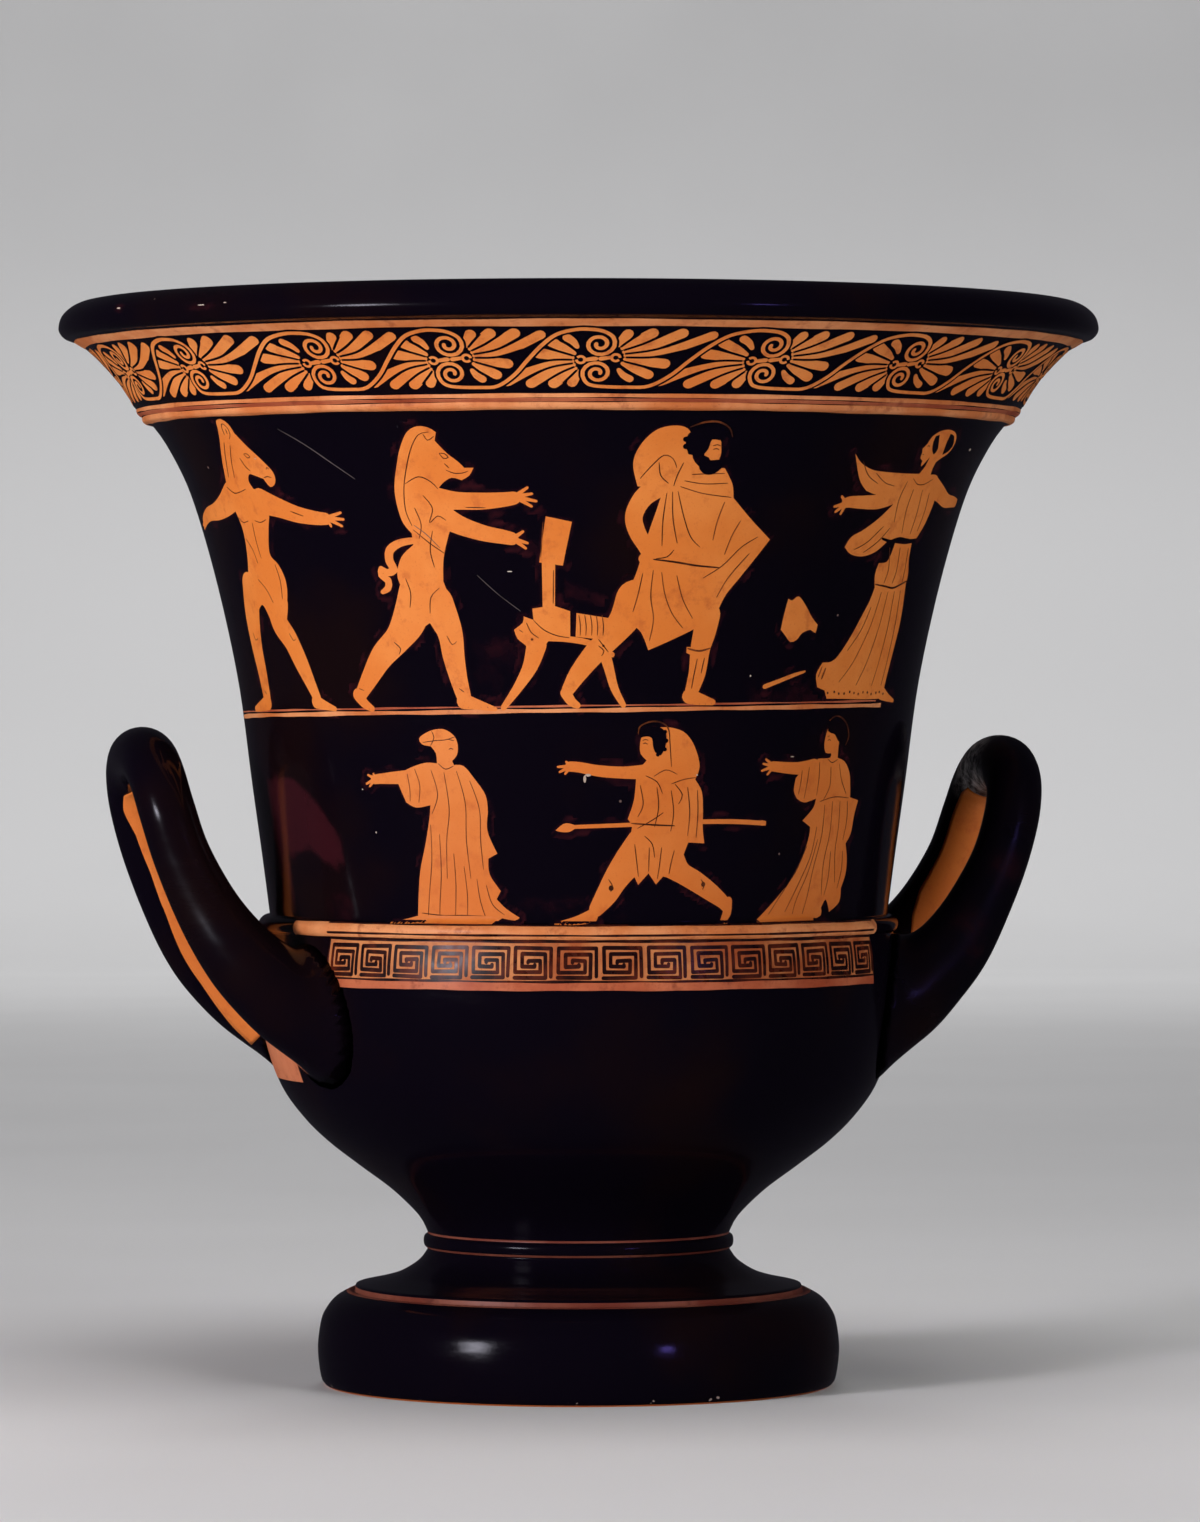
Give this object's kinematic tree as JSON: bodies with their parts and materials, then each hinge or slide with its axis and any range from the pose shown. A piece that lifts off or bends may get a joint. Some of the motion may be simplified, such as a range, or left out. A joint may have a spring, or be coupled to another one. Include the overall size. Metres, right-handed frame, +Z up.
{
  "type": "calyx-krater",
  "caption": "Greek red-figure calyx-krater: a flaring mixing bowl on a disc foot, with upturned loop handles low on its swelling base and painted figure scenes.",
  "frame": {"origin": "centre of the foot's resting plane, on the vessel's axis", "axes": "+Z up along the vessel's axis; X through the two handles; the main painted side faces -Y"},
  "size_m": [0.3406, 0.3406, 0.354],
  "materials": {
    "black_gloss": "black slip fired to a soft gloss, with reddish misfired patches and fine scratches",
    "fired_clay": "orange fired clay, satin where it is burnished, with black painted lines"
  },
  "bodies": {
    "root": {"krater": "black_gloss"}
  },
  "joints": []
}
